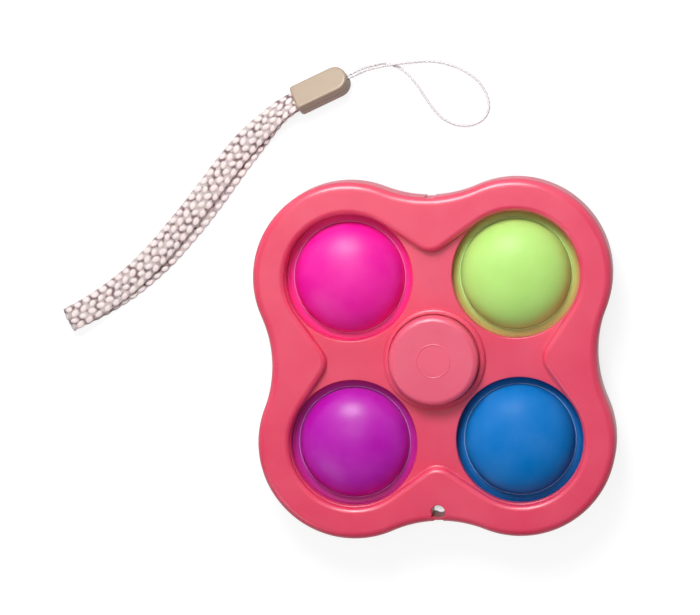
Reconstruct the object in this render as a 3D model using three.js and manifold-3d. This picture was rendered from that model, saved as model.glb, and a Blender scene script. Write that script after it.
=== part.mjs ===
// Four-lobed fidget spinner with a silicone push bubble in each lobe, and the wrist strap that lies beside it.
// Millimetres, +Z up out of the front face, origin on the hub axis under the back cap.
import * as THREE from "three";
import { mergeVertices } from "three/addons/utils/BufferGeometryUtils.js";
import Module from "manifold-3d";

const wasm = await Module();
wasm.setup();

// Frame outline: each lobe is drawn round its opening, and the openings stand round the hub
const opening_radius = 15.95;
const rim_width = 8.15;
const bridge_gap = 0.736;
const waist_radius = 30;
const rim_height = 6;
const rim_edge_radius = 2;
const notch_width = 2.4;
const notch_depth = 0.35;

// Recess in each face of the frame
const recess_depth = 2.5;
const recess_ledge = 0.25;
const recess_edge_radius = 1.3;
const tip_depth = 13.57;
const tip_radius = 3;

// Shell walls and the seam between the two shells
const shell_wall = 1.8;
const floor_wall = 1.5;
const rim_wall = 1.6;
const seam_gap = 0.3;

// Silicone bubbles and the collars that hold them in the openings
const opening_edge_radius = 0.25;
const collar_wall = 1.6;
const flange_width = 1.25;
const flange_thickness = 1.2;
const flange_clearance = 0.15;
const web_thickness = 0.9;
const web_width = 2.4;
const dome_height = 8.2;
const dome_wall = 1.2;
const web_step = 0.8;
const fold_gap = 0.3;

// Ball bearing, as wide as it is thick between its bore and its outside
const bearing_radius = 11;
const bearing_bore_radius = 4;
const ball_share = 0.567;
const ball_count = 7;
const ball_clearance = 0.15;
const land_share = 0.4;
const cage_share = 0.43;
const cage_gap = 0.2;
const cage_skirt = 0.9;
const cage_clearance = 0.15;
const shield_thickness = 0.3;
const shield_inset = 0.25;
const shield_seat = 0.35;
const race_chamfer = 0.4;

// Hub: the ring of the frame round the bearing, and the two finger caps
const hub_ring_wall = 1.8;
const hub_ring_edge = 0.75;
const hub_lip_width = 0.8;
const hub_lip_thickness = 0.45;
const hub_wall = 0.9;
const bearing_clearance = 0.05;
const cap_overlap = 0.25;
const cap_rise = 3.7;
const cap_edge_radius = 1.5;
const cap_wall = 1.5;
const cap_skirt_gap = 0.4;
const cap_recess_depth = 0.8;
const cap_boss_margin = 0.5;
const cap_ring_step = 1.45;
const cap_ring_groove = 0.15;
const pin_radius = 2;
const pin_reach = 2.6;
const pin_clearance = 0.1;

// Pegs that join the shells, and the hole for the strap's string
const post_spacing = 6.3;
const post_radius = 2.6;
const peg_radius = 1.4;
const peg_length = 2.6;
const peg_clearance = 0.1;
const lanyard_inset = 2.47;
const lanyard_radius = 1.7;
const lanyard_wall = 0.8;

// Wrist strap: flat braid folded over and held by a two-part clip
const tape_width = 6.4;
const tape_end_width = 5.2;
const tape_thickness = 1;
const tape_fan = 0.9;
const fold_radius = 1.4;
const layer_gap = 0.35;
const clip_length = 14.6;
const clip_width = 6.6;
const clip_thickness = 5;
const clip_edge = 0.6;
const clip_split = 0.3;
const clip_slot_depth = 4;
const clip_x = -27.1;
const clip_y = 67.8;
const clip_heading = THREE.MathUtils.degToRad(24);
const clip_roll = THREE.MathUtils.degToRad(28);
const clip_wall = 1;
const clip_rivet_radius = 0.9;
const strap_clearance = 0.3;
const string_diameter = 0.65;
const string_channel_depth = 2.6;
const string_spacing = 0.8;
const tape_inset = 3.4;
const rise_length = 18;
const settle_length = 13;

// Facets
const round_steps = 28;
const hidden_steps = 16;
const small_steps = 8;
const lobe_steps = 10;
const waist_steps = 4;
const recess_steps = 8;
const tip_steps = 3;
const fillet_steps = 3;
const edge_steps = 2;
const dome_steps = 5;
const bubble_steps = 24;
const race_steps = 24;
const race_arc_steps = 2;
const ball_steps = 8;
const ball_rings = 6;
const tape_steps = 22;
const fold_steps = 6;
const string_steps = 56;
const string_sides = 8;
const overrun = 1;

const quarter_turn = Math.PI / 2;
const full_turn = Math.PI * 2;

// Bearing and hub, with levels above the middle plane
const half_bearing = (bearing_radius - bearing_bore_radius) / 2;
const ball_pitch_radius = (bearing_bore_radius + bearing_radius) / 2;
const ball_radius = half_bearing * ball_share;
const inner_land_radius = ball_pitch_radius - half_bearing * land_share;
const outer_land_radius = ball_pitch_radius + half_bearing * land_share;
const cage_wall = half_bearing * cage_share;
const cage_height = half_bearing - shield_inset - shield_thickness - cage_gap;
const hub_ring_radius = bearing_radius + hub_ring_wall;
const hub_lip_radius = bearing_radius - hub_lip_width;
const hub_ring_height = half_bearing + bearing_clearance + hub_lip_thickness + cap_recess_depth;
const cap_radius = bearing_radius + cap_overlap;
const cap_height = hub_ring_height + cap_rise;
const cap_boss_radius = inner_land_radius - cap_boss_margin;
const cap_ring_radius = cap_boss_radius - cap_ring_step;

// Lobes, waists and bubbles
const lobe_reach = (opening_radius + bridge_gap + hub_ring_radius) / Math.SQRT2;
const lobe_radius = opening_radius + rim_width;
const waist_centre = lobe_reach + Math.sqrt((lobe_radius + waist_radius) ** 2 - lobe_reach ** 2);
const waist_reach = waist_centre - waist_radius;
const tip_reach = waist_reach - tip_depth;
const lanyard_reach = waist_reach - lanyard_inset;
const post_reach = lanyard_reach - post_spacing;
const recess_radius = opening_radius + recess_ledge;
const floor_height = rim_height - recess_depth;
const half_seam = seam_gap / 2;
const flange_seat = flange_thickness / 2 + flange_clearance;
const flange_radius = opening_radius + flange_width;
const collar_radius = opening_radius + collar_wall;
const dome_radius = opening_radius - web_width;

const corners = [
  { name: "pink", x: -lobe_reach, y: lobe_reach, color: 0xf21fa6 },
  { name: "green", x: lobe_reach, y: lobe_reach, color: 0xb9ec86 },
  { name: "purple", x: -lobe_reach, y: -lobe_reach, color: 0xb312b0 },
  { name: "blue", x: lobe_reach, y: -lobe_reach, color: 0x0a78c6 },
];

// Closed meshes and solids

function closedGeometry(geometry) {
  const bare = geometry.index ? geometry.toNonIndexed() : geometry.clone();
  for (const name of Object.keys(bare.attributes)) {
    if (name !== "position") bare.deleteAttribute(name);
  }
  const merged = mergeVertices(bare, 1e-4);
  const kept = [];
  const index = merged.index.array;
  for (let i = 0; i < index.length; i += 3) {
    const [a, b, c] = [index[i], index[i + 1], index[i + 2]];
    if (a !== b && b !== c && c !== a) kept.push(a, b, c);
  }
  merged.setIndex(kept);
  if (signedVolume(merged) < 0) {
    for (let i = 0; i < kept.length; i += 3) {
      [kept[i + 1], kept[i + 2]] = [kept[i + 2], kept[i + 1]];
    }
    merged.setIndex(kept);
  }
  return merged;
}

function signedVolume(geometry) {
  const place = geometry.attributes.position;
  const index = geometry.index.array;
  const a = new THREE.Vector3();
  const b = new THREE.Vector3();
  const c = new THREE.Vector3();
  let total = 0;
  for (let i = 0; i < index.length; i += 3) {
    a.fromBufferAttribute(place, index[i]);
    b.fromBufferAttribute(place, index[i + 1]);
    c.fromBufferAttribute(place, index[i + 2]);
    total += a.dot(b.cross(c));
  }
  return total;
}

function solid(geometry) {
  const closed = closedGeometry(geometry);
  const mesh = new wasm.Mesh({
    numProp: 3,
    vertProperties: new Float32Array(closed.attributes.position.array),
    triVerts: new Uint32Array(closed.index.array),
  });
  return new wasm.Manifold(mesh);
}

function geometryOf(manifold) {
  const mesh = manifold.getMesh();
  const geometry = new THREE.BufferGeometry();
  geometry.setAttribute("position", new THREE.BufferAttribute(mesh.vertProperties, 3));
  geometry.setIndex(new THREE.BufferAttribute(mesh.triVerts, 1));
  return geometry;
}

function piece(name, shape, color, roughness, metalness = 0) {
  const geometry = shape.isBufferGeometry ? closedGeometry(shape) : geometryOf(shape);
  geometry.computeVertexNormals();
  const mesh = new THREE.Mesh(geometry, new THREE.MeshStandardMaterial({ color, roughness, metalness }));
  mesh.name = name;
  return mesh;
}

// A turned shape about Z from [radius, height] pairs
function turned(profile, steps, x = 0, y = 0) {
  const geometry = new THREE.LatheGeometry(profile.map(([r, z]) => new THREE.Vector2(r, z)), steps);
  geometry.rotateX(quarter_turn);
  geometry.translate(x, y, 0);
  return geometry;
}

function turnedRing(profile, steps, x = 0, y = 0) {
  return turned([...profile, profile[0]], steps, x, y);
}

function drum(radius, low, high, steps, x = 0, y = 0) {
  return turned([[0, low], [radius, low], [radius, high], [0, high]], steps, x, y);
}

// A skin through rings of points that match one to one, with flat ends
function loft(rings) {
  const count = rings[0].length;
  const places = rings.flat().flatMap((point) => [point.x, point.y, point.z]);
  const index = [];
  for (let ring = 0; ring < rings.length - 1; ring++) {
    for (let i = 0; i < count; i++) {
      const j = (i + 1) % count;
      const [a, b] = [ring * count + i, ring * count + j];
      index.push(a, b, b + count, a, b + count, a + count);
    }
  }
  const last = (rings.length - 1) * count;
  for (const [a, b, c] of THREE.ShapeUtils.triangulateShape(flattened(rings[0]), [])) index.push(c, b, a);
  for (const [a, b, c] of THREE.ShapeUtils.triangulateShape(flattened(rings[rings.length - 1]), [])) {
    index.push(last + a, last + b, last + c);
  }
  const geometry = new THREE.BufferGeometry();
  geometry.setAttribute("position", new THREE.Float32BufferAttribute(places, 3));
  geometry.setIndex(index);
  return geometry;
}

// The points of a flat ring in its own plane
function flattened(ring) {
  const origin = ring[0];
  const along = ring[1].clone().sub(origin).normalize();
  const normal = new THREE.Vector3();
  for (let i = 0; i < ring.length; i++) {
    normal.add(ring[i].clone().cross(ring[(i + 1) % ring.length]));
  }
  const across = normal.normalize().cross(along);
  return ring.map((point) => {
    const offset = point.clone().sub(origin);
    return new THREE.Vector2(offset.dot(along), offset.dot(across));
  });
}

// Heights and insets of a rounded edge that ends at the given height
function fillet(radius, inset, height, steps = fillet_steps) {
  const levels = [];
  for (let i = 1; i <= steps; i++) {
    const turn = quarter_turn * i / steps;
    levels.push([inset + radius * (1 - Math.cos(turn)), height - radius * (1 - Math.sin(turn))]);
  }
  return levels;
}

// Outlines

function arc(x, y, radius, from, to, steps) {
  const points = [];
  for (let i = 0; i <= steps; i++) {
    const turn = from + (to - from) * i / steps;
    points.push(new THREE.Vector2(x + radius * Math.cos(turn), y + radius * Math.sin(turn)));
  }
  return points;
}

function fourTimes(quarter) {
  const points = [];
  for (let i = 0; i < 4; i++) {
    const turn = quarter_turn * i;
    points.push(...quarter.map((point) => point.clone().rotateAround(new THREE.Vector2(), turn)));
  }
  return points;
}

// Outer clover: four lobes joined by hollow waists, drawn in by an inset
function cloverOutline(inset) {
  const lean = Math.atan2(waist_centre - lobe_reach, -lobe_reach);
  const lobe = arc(lobe_reach, lobe_reach, lobe_radius - inset, quarter_turn - lean, lean, lobe_steps);
  const waist = arc(0, waist_centre, waist_radius + inset, lean - Math.PI, -lean, waist_steps);
  return fourTimes([...lobe, ...waist.slice(1, -1)]);
}

// Recess: arcs round the bubbles and the four rounded tips of the rim, widened by a growth
function recessOutline(growth) {
  const tip_centre = tip_reach + tip_radius;
  const span = Math.hypot(lobe_reach, tip_centre - lobe_reach);
  const heading = Math.atan2(tip_centre - lobe_reach, -lobe_reach);
  const swing = heading - Math.acos((recess_radius + tip_radius) / span);
  const round = arc(lobe_reach, lobe_reach, recess_radius + growth, quarter_turn - swing, swing, recess_steps);
  const tip = arc(0, tip_centre, tip_radius - growth, swing - Math.PI, -swing, tip_steps);
  return fourTimes([...round, ...tip]);
}

function stack(outline, levels) {
  return loft(levels.map(([inset, z]) => outline(inset).map((point) => new THREE.Vector3(point.x, point.y, z))));
}

// Frame shells, made about the middle plane with the face upwards

function shellBody() {
  const foot = half_seam;
  const outside = solid(stack(cloverOutline, [
    [0, foot],
    [0, rim_height - rim_edge_radius],
    ...fillet(rim_edge_radius, 0, rim_height),
  ]));
  const ceiling = floor_height - floor_wall;
  const hollow = solid(stack(cloverOutline, [[shell_wall, foot - overrun], [shell_wall, ceiling]]));
  const channel = solid(stack(cloverOutline, [[shell_wall, ceiling - overrun / 2], [shell_wall, rim_height - rim_wall]]))
    .subtract(solid(stack(recessOutline, [[rim_wall, ceiling - overrun], [rim_wall, rim_height]])));
  return { outside, walls: outside.subtract(hollow).subtract(channel) };
}

function recessCut() {
  const flare = fillet(recess_edge_radius, 0, rim_height, edge_steps);
  const top = flare[flare.length - 1][0];
  return solid(stack(recessOutline, [
    [0, floor_height],
    [0, rim_height - recess_edge_radius],
    ...flare,
    [top, rim_height + overrun],
  ]));
}

function openingCut(corner) {
  const flare = fillet(opening_edge_radius, opening_radius, floor_height, edge_steps);
  const top = flare[flare.length - 1][0];
  return solid(turned([
    [0, -overrun],
    [opening_radius, -overrun],
    [opening_radius, floor_height - opening_edge_radius],
    ...flare,
    [top, rim_height + overrun],
    [0, rim_height + overrun],
  ], round_steps, corner.x, corner.y));
}

function collarRing(corner) {
  const top = floor_height - floor_wall / 2;
  return solid(turnedRing([
    [opening_radius - overrun, flange_seat],
    [collar_radius, flange_seat],
    [collar_radius, top],
    [opening_radius - overrun, top],
  ], hidden_steps, corner.x, corner.y));
}

// The hub wall with its rounded top edge, the lip over the bearing and the well for the cap
function hubWall() {
  const step = floor_height - floor_wall / 2;
  return solid(turned([
    [0, half_seam],
    [bearing_radius + hub_wall, half_seam],
    [bearing_radius + hub_wall, step],
    [hub_ring_radius, step],
    [hub_ring_radius, hub_ring_height - hub_ring_edge],
    ...fillet(hub_ring_edge, 0, hub_ring_height, edge_steps).map(([inset, z]) => [hub_ring_radius - inset, z]),
    [0, hub_ring_height],
  ], round_steps));
}

function hubCut() {
  const seat = bearing_radius + bearing_clearance;
  const shoulder = half_bearing + bearing_clearance;
  const well = cap_radius + cap_skirt_gap;
  return solid(turned([
    [0, -overrun],
    [seat, -overrun],
    [seat, shoulder],
    [hub_lip_radius, shoulder],
    [hub_lip_radius, hub_ring_height - cap_recess_depth],
    [well, hub_ring_height - cap_recess_depth],
    [well, hub_ring_height + overrun],
    [0, hub_ring_height + overrun],
  ], round_steps));
}

function postPlaces() {
  return arc(0, 0, post_reach, 0, full_turn, 4).slice(0, 4);
}

function shellFittings(outside, front) {
  const top = rim_height - rim_wall / 2;
  let added = solid(drum(lanyard_radius + lanyard_wall, half_seam, top, small_steps, 0, -lanyard_reach));
  for (const place of postPlaces()) {
    added = added.add(solid(drum(post_radius, half_seam, top, small_steps, place.x, place.y)));
  }
  added = added.intersect(outside);
  if (front) {
    for (const place of postPlaces()) {
      added = added.add(solid(drum(peg_radius, -peg_length, floor_height, small_steps, place.x, place.y)));
    }
  }
  return added;
}

function shellCuts(front) {
  let cut = solid(drum(lanyard_radius, -overrun, rim_height + overrun, small_steps, 0, -lanyard_reach));
  if (!front) {
    const socket = peg_length + peg_clearance;
    for (const place of postPlaces()) {
      cut = cut.add(solid(drum(peg_radius + peg_clearance, -overrun, socket, small_steps, place.x, place.y)));
    }
  }
  for (const side of [-1, 1]) {
    const slot = new THREE.BoxGeometry(notch_width, notch_depth * 2, rim_height * 3);
    slot.translate(0, side * waist_reach, 0);
    cut = cut.add(solid(slot));
  }
  return cut;
}

function frameShell(front) {
  const { outside, walls } = shellBody();
  let shell = walls.subtract(recessCut());
  for (const corner of corners) shell = shell.add(collarRing(corner));
  shell = shell.add(hubWall()).add(shellFittings(outside, front));
  for (const corner of corners) shell = shell.subtract(openingCut(corner));
  return shell.subtract(hubCut()).subtract(shellCuts(front));
}

// Silicone bubbles: a dome that pops through, and the collar that the shells hold

function domeProfile(radius, height, foot) {
  const points = arc(0, 0, 1, 0, quarter_turn, dome_steps).map((point) => (
    [radius * point.x, foot + (height - foot) * point.y]));
  points[dome_steps][0] = 0;
  return points;
}

function bubbleDome(corner) {
  const foot = -web_thickness / 2;
  const outer = domeProfile(dome_radius, dome_height, web_thickness / 2);
  const inner = domeProfile(dome_radius - dome_wall, dome_height - dome_wall, foot);
  return turned([...inner.reverse(), [dome_radius, foot], ...outer], bubble_steps, corner.x, corner.y);
}

function bubbleCollar(corner) {
  const inner = dome_radius + fold_gap;
  const step = opening_radius - web_step;
  return turnedRing([
    [inner, -web_thickness / 2],
    [step, -flange_thickness / 2],
    [flange_radius, -flange_thickness / 2],
    [flange_radius, flange_thickness / 2],
    [step, flange_thickness / 2],
    [inner, web_thickness / 2],
  ], bubble_steps, corner.x, corner.y);
}

// Ball bearing

function raceProfile(land, race) {
  const swing = Math.acos(1 - Math.abs(race - land) / (ball_radius + ball_clearance));
  const reach = ball_radius + ball_clearance;
  const side = Math.sign(race - land);
  return arc(0, 0, reach, -swing, swing, 2 * race_arc_steps).map((point) => (
    [ball_pitch_radius + side * point.x, point.y]));
}

function outerRing() {
  const race = ball_pitch_radius + ball_radius + ball_clearance;
  const seat = half_bearing - shield_inset - shield_thickness - shield_seat / 2;
  const lip = outer_land_radius + shield_seat;
  return turnedRing([
    [bearing_radius - race_chamfer, -half_bearing],
    [bearing_radius, -half_bearing + race_chamfer],
    [bearing_radius, half_bearing - race_chamfer],
    [bearing_radius - race_chamfer, half_bearing],
    [lip, half_bearing],
    [lip, seat],
    [outer_land_radius, seat],
    ...raceProfile(outer_land_radius, race).reverse(),
    [outer_land_radius, -seat],
    [lip, -seat],
    [lip, -half_bearing],
  ], round_steps);
}

function innerRing() {
  const race = ball_pitch_radius - ball_radius - ball_clearance;
  return turnedRing([
    [bearing_bore_radius, -half_bearing + race_chamfer],
    [bearing_bore_radius + race_chamfer, -half_bearing],
    [inner_land_radius, -half_bearing],
    ...raceProfile(inner_land_radius, race),
    [inner_land_radius, half_bearing],
    [bearing_bore_radius + race_chamfer, half_bearing],
    [bearing_bore_radius, half_bearing - race_chamfer],
  ], race_steps);
}

function ballPlaces() {
  return arc(0, 0, ball_pitch_radius, 0, full_turn, ball_count).slice(0, ball_count);
}

function ball(place, radius) {
  const geometry = new THREE.SphereGeometry(radius, ball_steps, ball_rings);
  geometry.rotateX(quarter_turn);
  geometry.translate(place.x, place.y, 0);
  return geometry;
}

// Crown cage: a ring above the balls whose pockets are open below
function crownCage() {
  let cage = solid(turnedRing([
    [ball_pitch_radius - cage_wall / 2, -cage_skirt],
    [ball_pitch_radius + cage_wall / 2, -cage_skirt],
    [ball_pitch_radius + cage_wall / 2, cage_height],
    [ball_pitch_radius - cage_wall / 2, cage_height],
  ], ball_count * 4));
  for (const place of ballPlaces()) cage = cage.subtract(solid(ball(place, ball_radius + cage_clearance)));
  return cage;
}

function shield(side) {
  const high = side * (half_bearing - shield_inset);
  const low = side * (half_bearing - shield_inset - shield_thickness);
  const inner = inner_land_radius + cage_clearance;
  const outer = outer_land_radius + shield_seat - pin_clearance;
  return turnedRing([[inner, low], [outer, low], [outer, high], [inner, high]], bubble_steps);
}

// Finger caps

function capOutside() {
  const groove = cap_ring_groove;
  return [
    [0, cap_height],
    [cap_ring_radius - groove, cap_height],
    [cap_ring_radius, cap_height - groove],
    [cap_ring_radius + groove, cap_height],
    ...fillet(cap_edge_radius, 0, cap_height).reverse().map(([inset, z]) => [cap_radius - inset, z]),
    [cap_radius, cap_height - cap_edge_radius],
  ];
}

function capProfile(stem) {
  const skirt = hub_ring_height - cap_recess_depth + cap_skirt_gap;
  const stem_radius = bearing_bore_radius - bearing_clearance;
  const shoulder = half_bearing + bearing_clearance;
  return [
    ...capOutside(),
    [cap_radius, skirt],
    [cap_radius - cap_wall, skirt],
    [cap_radius - cap_wall, cap_height - cap_wall],
    [cap_boss_radius, cap_height - cap_wall],
    [cap_boss_radius, shoulder],
    [stem_radius, shoulder],
    ...stem,
  ].reverse();
}

function frontCap() {
  const stem_radius = bearing_bore_radius - bearing_clearance;
  return turned(capProfile([
    [stem_radius, pin_clearance],
    [pin_radius, pin_clearance],
    [pin_radius, -pin_reach],
    [0, -pin_reach],
  ]), round_steps);
}

function backCap() {
  const stem_radius = bearing_bore_radius - bearing_clearance;
  return turned(capProfile([
    [stem_radius, pin_clearance],
    [pin_radius + pin_clearance, pin_clearance],
    [pin_radius + pin_clearance, pin_reach + pin_clearance],
    [0, pin_reach + pin_clearance],
  ]), round_steps);
}

// Wrist strap

// The middle of the folded tape on the table, from the fold to the clip, set out from the clip's mouth
const tape_route = [
  [-58.53, -53.51],
  [-53.67, -51.17],
  [-48.72, -48.34],
  [-44.38, -45.41],
  [-40.24, -42.07],
  [-35.69, -37.94],
  [-31.36, -33.3],
  [-26.92, -28.26],
  [-22.69, -23.12],
  [-18.86, -18.18],
  [-14.83, -13.24],
  [-11.5, -9.51],
  [-7.87, -5.88],
  [-4.33, -2.65],
];

// The string's loop, set out from the clip's round end, with the height of its middle
const string_route = [
  [1.51, 0.14, 3.45],
  [3.18, 0.9, 2.45],
  [5.05, 1.54, 1.5],
  [7.16, 2, 1.25],
  [9.19, 2.36, 1.35],
  [11.01, 2.61, 1.45],
  [13.02, 2.82, 1.25],
  [15.42, 3.05, 0.75],
  [19.43, 3.22, 0.36],
  [23.57, 2.73, 0.36],
  [28.61, 0.83, 0.36],
  [32.34, -1.97, 0.36],
  [34.36, -5.07, 0.36],
  [35.07, -8.18, 0.36],
  [34.46, -10.49, 0.36],
  [32.65, -12.3, 0.36],
  [29.53, -13.21, 0.36],
  [26.51, -12.82, 0.36],
  [23.48, -11.33, 0.36],
  [20.96, -8.63, 0.36],
  [19.24, -6.02, 0.36],
  [17.22, -2.86, 0.36],
  [15.3, -0.41, 0.36],
  [13.28, 1.39, 0.36],
  [10.95, 2.54, 0.36],
  [8.73, 3.04, 0.36],
  [7.03, 2.75, 0.42],
  [4.89, 2.28, 0.8],
  [2.93, 1.62, 1.75],
  [1.2, 0.83, 2.9],
];

function smoothRoute(points) {
  return new THREE.CatmullRomCurve3(points, false, "centripetal");
}

// Points of a route, set out from a place on the table
function placedRoute(points, from) {
  return points.map(([x, y, z = 0]) => new THREE.Vector3(from.x + x, from.y + y, z));
}

function smoothStep(share) {
  const held = THREE.MathUtils.clamp(share, 0, 1);
  return held * held * (3 - 2 * held);
}

// The clip stands on one rounded edge, so its middle is this far above the table
function clipHeight() {
  const half_width = clip_width / 2 - clip_edge;
  const half_thickness = clip_thickness / 2 - clip_edge;
  return half_width * Math.sin(clip_roll) + half_thickness * Math.cos(clip_roll) + clip_edge;
}

function clipPoint(along) {
  return new THREE.Vector3(
    clip_x + along * Math.cos(clip_heading),
    clip_y + along * Math.sin(clip_heading),
    clipHeight(),
  );
}

// One cross-section of the tape: its middle, its width direction and its thickness direction
function tapeSection(middle, across, up, width) {
  const edge_shares = [[-1, -0.4], [-0.86, -1], [0.86, -1], [1, -0.4], [1, 0.4], [0.86, 1], [-0.86, 1], [-1, 0.4]];
  return edge_shares.map(([a, b]) => middle.clone()
    .addScaledVector(across, a * width / 2)
    .addScaledVector(up, b * tape_thickness / 2));
}

// The tape runs from the clip to the fold as the upper layer, and back under itself as the lower one
function strapTape() {
  const mouth = clipPoint(-clip_length / 2).setZ(0);
  const inner_end = clipPoint(strap_clearance + tape_inset - clip_length / 2).setZ(0);
  const route = smoothRoute([...placedRoute(tape_route, mouth), mouth, inner_end]);
  const reach = route.getLength();
  const rise_start = reach - tape_inset - rise_length;
  const high = 2 * fold_radius;
  const close = tape_thickness + layer_gap;
  const sectionAt = (share, layer) => {
    const place = route.getPointAt(share);
    const heading = route.getTangentAt(share);
    const travel = share * reach;
    const lift = smoothStep((travel - rise_start) / rise_length);
    const roll = clip_roll * lift;
    const side = new THREE.Vector3(-heading.y, heading.x, 0);
    const across = side.clone().multiplyScalar(Math.cos(roll));
    across.z = -Math.sin(roll);
    const up = side.clone().multiplyScalar(Math.sin(roll));
    up.z = Math.cos(roll);
    const apart = high + (close - high) * smoothStep(travel / settle_length);
    const table = tape_thickness / 2 + (layer > 0 ? apart : 0);
    const held = clipHeight();
    place.addScaledVector(side, layer * tape_fan * Math.sin(Math.PI * share) * (1 - lift));
    place.z = table * (1 - lift) + held * lift;
    place.addScaledVector(up, layer * close / 2 * lift);
    return tapeSection(place, across, up, tape_width + (tape_end_width - tape_width) * lift);
  };
  const sections = [];
  for (let i = tape_steps; i >= 0; i--) sections.push(sectionAt(i / tape_steps, 1));
  const nose = route.getPointAt(0);
  const heading = route.getTangentAt(0);
  const side = new THREE.Vector3(-heading.y, heading.x, 0);
  for (let i = 1; i < fold_steps; i++) {
    const turn = Math.PI * i / fold_steps;
    const up = heading.clone().multiplyScalar(-Math.sin(turn));
    up.z = Math.cos(turn);
    const middle = new THREE.Vector3(nose.x, nose.y, tape_thickness / 2 + fold_radius).addScaledVector(up, fold_radius);
    sections.push(tapeSection(middle, side, up, tape_width));
  }
  for (let i = 0; i <= tape_steps; i++) {
    sections.push(sectionAt(i / tape_steps, -1).reverse());
  }
  return loft(sections);
}

// Clip outline: square where the tape goes in and round where the string comes out
function clipOutline(inset) {
  const radius = clip_width / 2 - inset;
  const back = clip_edge - inset / 2 - clip_length / 2 + inset;
  const corner = clip_edge - inset / 2;
  return [
    ...arc(back, corner - radius, corner, Math.PI, quarter_turn * 3, fillet_steps),
    ...arc(clip_length / 2 - inset - radius, 0, radius, -quarter_turn, quarter_turn, small_steps),
    ...arc(back, radius - corner, corner, quarter_turn, Math.PI, fillet_steps),
  ];
}

function clipHalf(cover) {
  const top = clip_thickness / 2;
  const split = clip_split / 2;
  let half = solid(stack(clipOutline, [[0, split], [0, top - clip_edge], ...fillet(clip_edge, 0, top)]));
  const slot_height = tape_thickness + layer_gap / 2 + strap_clearance;
  const slot = new THREE.BoxGeometry(clip_slot_depth + overrun, tape_end_width + 2 * strap_clearance, 2 * slot_height);
  slot.translate((clip_slot_depth - overrun - clip_length) / 2, 0, 0);
  const channel_width = string_spacing + string_diameter + 2 * strap_clearance;
  const channel_height = string_diameter + 2 * strap_clearance;
  const channel = new THREE.BoxGeometry(string_channel_depth + overrun, channel_width, channel_height);
  channel.translate((clip_length + overrun - string_channel_depth) / 2, 0, 0);
  half = half.subtract(solid(slot)).subtract(solid(channel));
  if (cover) {
    return half.subtract(solid(drum(clip_rivet_radius + strap_clearance, 0, top - clip_wall, small_steps)));
  }
  const rivet = top - clip_wall - strap_clearance;
  return half.add(solid(drum(clip_rivet_radius, -rivet, top - clip_wall, small_steps)));
}

// The string's ends lie side by side in the clip's channel
function stringEnd(side, along) {
  const across = new THREE.Vector3(
    -Math.sin(clip_heading) * Math.cos(clip_roll),
    Math.cos(clip_heading) * Math.cos(clip_roll),
    -Math.sin(clip_roll),
  );
  return clipPoint(along).addScaledVector(across, side * string_spacing / 2);
}

function strapString() {
  const mouth = clip_length / 2;
  const inside = mouth - string_channel_depth + strap_clearance;
  const route = smoothRoute([
    stringEnd(-1, inside),
    stringEnd(-1, mouth),
    ...placedRoute(string_route, clipPoint(mouth)),
    stringEnd(1, mouth),
    stringEnd(1, inside),
  ]);
  const section = arc(0, 0, string_diameter / 2, 0, full_turn, string_sides).slice(0, string_sides);
  return new THREE.ExtrudeGeometry(new THREE.Shape(section), {
    steps: string_steps,
    extrudePath: route,
    bevelEnabled: false,
  });
}

// Assembly

const plastic = 0xe8708a;
const cap_plastic = 0xe86a85;
const steel = 0xb9bcc2;

function turnedOver(mesh) {
  mesh.rotation.y = Math.PI;
  return mesh;
}

const spinner = new THREE.Group();
spinner.position.z = cap_height;
spinner.add(
  piece("front_shell", frameShell(true), plastic, 0.4),
  turnedOver(piece("back_shell", frameShell(false), plastic, 0.4)),
  piece("front_cap", frontCap(), cap_plastic, 0.4),
  turnedOver(piece("back_cap", backCap(), cap_plastic, 0.4)),
  piece("bearing_outer_ring", outerRing(), steel, 0.3, 1),
  piece("bearing_inner_ring", innerRing(), steel, 0.3, 1),
  piece("bearing_cage", crownCage(), 0xe9e4d2, 0.5),
  piece("bearing_front_shield", shield(1), steel, 0.35, 1),
  piece("bearing_back_shield", shield(-1), steel, 0.35, 1),
);
ballPlaces().forEach((place, i) => {
  spinner.add(piece(`bearing_ball_${i + 1}`, ball(place, ball_radius), steel, 0.15, 1));
});
for (const corner of corners) {
  spinner.add(piece(`${corner.name}_bubble_dome`, bubbleDome(corner), corner.color, 0.5));
  spinner.add(piece(`${corner.name}_bubble_collar`, bubbleCollar(corner), corner.color, 0.5));
}

const clip = new THREE.Group();
clip.position.copy(clipPoint(0));
clip.rotation.set(-clip_roll, 0, clip_heading, "ZYX");
const clip_base = piece("strap_clip_base", clipHalf(false), 0xdcc2a8, 0.45);
clip_base.rotation.x = Math.PI;
clip.add(piece("strap_clip_cover", clipHalf(true), 0xdcc2a8, 0.45), clip_base);

const part = new THREE.Group();
part.add(
  spinner,
  clip,
  piece("strap_tape", strapTape(), 0xf6e6e4, 0.85),
  piece("strap_string", strapString(), 0xe4dadd, 0.5),
);

export default part;
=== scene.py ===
import math
from bisect import bisect_right

import bpy
from bpy.props import FloatProperty, FloatVectorProperty, IntProperty, PointerProperty
from mathutils import Matrix, Vector


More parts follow.
